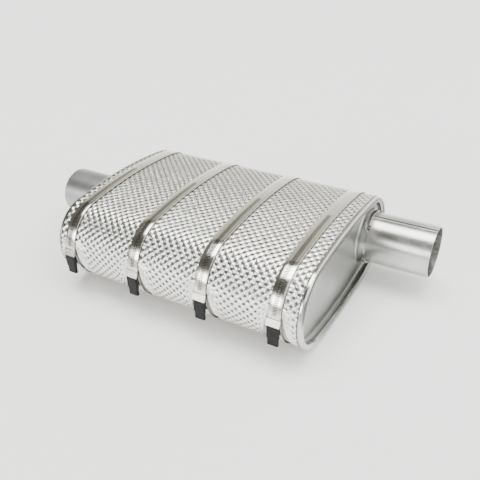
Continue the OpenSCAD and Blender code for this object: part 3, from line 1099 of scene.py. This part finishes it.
@dataclass(frozen=True)
class Room:
    """The room that the metal mirrors, in tones that run round the muffler's long axis.

    Each band is a place from 0 behind over 0.5 above to 1 in front, its brightness and its warmth. The
    spans front and softbox_over are such places too. All others run along the muffler, from -1 at the
    inlet's side to 1 at the outlet's.
    """

    peak: float = 14.0
    bands: tuple[Triple, ...] = (
        (0.0, 3.2, 0.4), (0.08, 1.9, 0.7), (0.17, 1.15, 0.9), (0.25, 0.74, 1.0), (0.305, 0.58, 1.0),
        (0.335, 0.2, 1.0), (0.6, 0.19, 1.0), (0.66, 0.14, 1.0), (0.72, 0.12, 1.0), (0.8, 0.16, 1.0),
        (0.84, 2.0, 0.4), (0.87, 12.0, 0.0), (0.945, 12.0, 0.0), (0.975, 1.8, 0.5), (1.0, 0.7, 0.8))
    warm: Colour = (0.0, 0.03, 0.14)
    front: Span = (0.8, 0.84)
    front_fall: Span = (-0.68, -0.44)
    front_least: float = 0.18
    front_near: Span = (-0.36, -0.12)
    front_drop: float = 0.6
    right_wall: float = 0.17
    right: Span = (-0.12, 0.08)
    left_wall: float = 0.011
    left: Span = (-0.74, -0.86)
    softbox: float = 11.0
    softbox_colour: tuple[float, float, float, float] = (1.0, 1.0, 0.98, 1.0)
    softbox_over: tuple[Span, Span] = ((0.39, 0.43), (0.61, 0.57))
    softbox_start: Span = (-0.52, -0.36)
    softbox_fade: Span = (-0.1, 0.3)
    softbox_drop: float = 0.75

    def stop(self, value: float, warmth: float) -> tuple[float, ...]:
        """Gives a band's colour, as a share of the peak."""
        return (*(value * part / self.peak for part in (1.0 - tint * warmth for tint in self.warm)), 1.0)

    def make(self) -> bpy.types.World:
        """Builds the world.

        Returns:
            The finished world.
        """
        world = bpy.data.worlds.new("studio_world")
        world.use_nodes = True
        graph = Graph(world.node_tree)
        along, back, height = graph.parts(graph.add("ShaderNodeTexCoord", output="Generated"))
        over = height.angle(back).absolute() / math.pi
        stops = [(place, self.stop(value, warmth)) for place, value, warmth in self.bands]
        colour = graph.add("ShaderNodeValToRGB", {"stops": stops}, {"Fac": over}, "Color")
        colour = graph.blend(along.ramp(*self.left), colour, (self.left_wall,) * 3)
        colour = graph.blend(along.ramp(*self.right), colour, (self.right_wall,) * 3)
        front = over.ramp(*self.front)
        fall = along.ramp(*self.front_fall) * (1.0 - self.front_least) + self.front_least
        near = 1.0 - along.ramp(*self.front_near) * self.front_drop
        strength = (1.0 - front + front * fall * near) * self.peak
        softbox = over.ramp(*self.softbox_over[0]) * over.ramp(*self.softbox_over[1])
        softbox = softbox * along.ramp(*self.softbox_start)
        softbox = softbox * (1.0 - along.ramp(*self.softbox_fade) * self.softbox_drop)
        walls = graph.add("ShaderNodeBackground", None, {"Color": colour, "Strength": strength})
        box = graph.add("ShaderNodeBackground", None,
                        {"Color": self.softbox_colour, "Strength": softbox * self.softbox})
        both = graph.add("ShaderNodeAddShader", None, {0: walls, 1: box})
        graph.add("ShaderNodeOutputWorld", None, {"Surface": both})
        return world


@dataclass(frozen=True)
class Studio:
    """Camera, floor and soft light, with the camera fitted to the photograph.

    The camera's position, its sensor and the floor's gap are in millimetres, the other sizes in metres.
    """

    oval: BodyOval
    focal_px: float = 577.9
    frame_px: float = 480.0
    sensor: float = 36.0
    position: Triple = (331.05, -502.45, 367.94)
    right: Triple = (0.86113, 0.50715, -0.03543)
    up: Triple = (-0.24444, 0.47414, 0.84584)
    forward: Triple = (-0.44576, 0.71972, -0.53226)
    clip: Span = (0.01, 50.0)
    floor_size: float = 14.0
    floor_gap: float = 0.3
    lamp_watts: float = 12.0
    lamp_size: float = 3.0
    lamp_height: float = 2.4

    def camera(self) -> None:
        """Places the camera where the photograph was taken."""
        data = bpy.data.cameras.new("studio_camera")
        data.sensor_width = self.sensor
        data.lens = self.focal_px / self.frame_px * self.sensor
        data.clip_start, data.clip_end = self.clip
        camera = bpy.data.objects.new("studio_camera", data)
        turn = Matrix((self.right, self.up, tuple(-part for part in self.forward))).transposed()
        camera.matrix_world = (Matrix.Translation(self.oval.middle + Vector(self.position) * MM)
                               @ turn.to_4x4())
        bpy.context.scene.collection.objects.link(camera)
        bpy.context.scene.camera = camera

    def floor(self) -> None:
        mesh = bmesh.new()
        bmesh.ops.create_grid(mesh, x_segments=4, y_segments=4, size=self.floor_size / 2)
        under = Vector((0.0, 0.0, self.oval.height / 2 + self.floor_gap)) * MM
        bmesh.ops.translate(mesh, verts=mesh.verts, vec=self.oval.middle - under)
        floor = finish_mesh(mesh, "floor")
        floor.data.materials.append(StudioFloor().make())

    def light(self) -> None:
        """Sets the world, and a lamp for the floor that the metal does not mirror."""
        bpy.context.scene.world = Room().make()
        data = bpy.data.lights.new("floor_lamp", "AREA")
        data.shape = "DISK"
        data.size = self.lamp_size
        data.energy = self.lamp_watts
        lamp = bpy.data.objects.new("floor_lamp", data)
        lamp.location = self.oval.middle + Vector((0.0, 0.0, self.lamp_height))
        lamp.visible_glossy = False
        bpy.context.scene.collection.objects.link(lamp)


class Dresser:
    """Gives the carried-over CAD nodes their finishes."""

    def __init__(self, nodes: dict[str, bpy.types.Object]) -> None:
        """Keeps the frame's nodes.

        Args:
            nodes: The CAD nodes by name.
        """
        self.nodes = nodes

    def dress(self, names: Iterable[str], material: bpy.types.Material) -> None:
        """Puts one material on nodes.

        Args:
            names: The nodes' names.
            material: The finish.
        """
        for name in names:
            data = self.nodes[name].data
            data.materials.clear()
            data.materials.append(material)
            log.info("dressed %s with %s", name, material.name)

    @staticmethod
    def add(piece: bpy.types.Object, material: bpy.types.Material, slot: str, replaced: str = "") -> None:
        """Puts a new piece on the body.

        Args:
            piece: The finished piece.
            material: Its finish.
            slot: A material slot's name; not used.
            replaced: The CAD node that it stands for, if any.
        """
        piece.data.materials.append(material)
        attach(piece, BODY)
        if replaced:
            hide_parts(replaced)
        log.info("built %s with %d faces", piece.name, len(piece.data.polygons))


FINISHES: tuple[tuple[tuple[str, ...], Finish], ...] = (
    (("muffler_shell",),
     Metal("muffler_steel", (0.78, 0.76, 0.71), (0.62, 0.6, 0.55),
           roughness=0.5, rough_spread=0.1, metallic=0.6)),
    (("inlet_head", "outlet_head"),
     HeadSteel("head_steel", (0.43, 0.432, 0.415), (0.31, 0.313, 0.3), roughness=0.32, rough_spread=0.14)),
    (("inlet_neck",),
     Metal("inlet_neck_steel", (0.42, 0.425, 0.425), (0.3, 0.305, 0.305),
           roughness=0.38, grain=Grain.ALONG)),
    (("outlet_neck",),
     NeckSteel("outlet_neck_steel", (0.68, 0.678, 0.645), (0.46, 0.458, 0.435),
               rough_spread=0.16, grain=Grain.ALONG)),
    (("inlet_tube", "outlet_tube", "return_tube", "inlet_baffle", "outlet_baffle"),
     Metal("inner_steel", (0.24, 0.236, 0.225), (0.15, 0.147, 0.14), roughness=0.45, rough_spread=0.1)),
    (("buckle_1", "buckle_2", "buckle_3", "buckle_4"),
     Metal("buckle_steel", (0.46, 0.45, 0.41), (0.36, 0.35, 0.31),
           roughness=0.22, rough_spread=0.1, grain=Grain.ACROSS)),
    (("tail_cap_1", "tail_cap_2", "tail_cap_3", "tail_cap_4"), Vinyl()),
)
TIE_STEEL = Metal("tie_steel", (0.83, 0.81, 0.75), (0.74, 0.72, 0.65),
                  roughness=0.13, rough_spread=0.06, grain=Grain.ACROSS)
# Painted shade: near-black colour on the slots' walls, where the slots lie in shadow
SLOT_SHADE = Metal("slot_wall_shade", (0.09, 0.085, 0.08), (0.04, 0.038, 0.035),
                   roughness=0.5, rough_spread=0.1)
WELD_METAL = Metal("weld_metal", (0.22, 0.215, 0.2), (0.03, 0.028, 0.026),
                   roughness=0.3, rough_spread=0.2, cloud_scale=260.0)


def main() -> None:
    """Loads the frame, builds the pieces and dresses them."""
    logging.basicConfig(level=logging.INFO, format="%(name)s: %(message)s")
    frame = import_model()
    oval = BodyOval()
    studio = Studio(oval)
    studio.camera()
    studio.floor()
    studio.light()

    dresser = Dresser(frame["nodes"])
    for names, finish in FINISHES:
        dresser.dress(names, finish.make())
    dresser.add(HeatShield(oval).make(), ShieldSheet().make(), "shield_sheet", "heat_shield")
    tie_steel, slot_shade = TIE_STEEL.make(), SLOT_SHADE.make()
    for number, at in enumerate(TIES, 1):
        band = Strap(oval, number, at).make()
        dresser.add(band, tie_steel, "tie_steel", f"strap_{number}")
        band.data.materials.append(slot_shade)
    dresser.add(WeldTacks(oval).make(), WELD_METAL.make(), "neck_steel")

    bpy.context.view_layer.update()


if __name__ == "__main__":
    main()
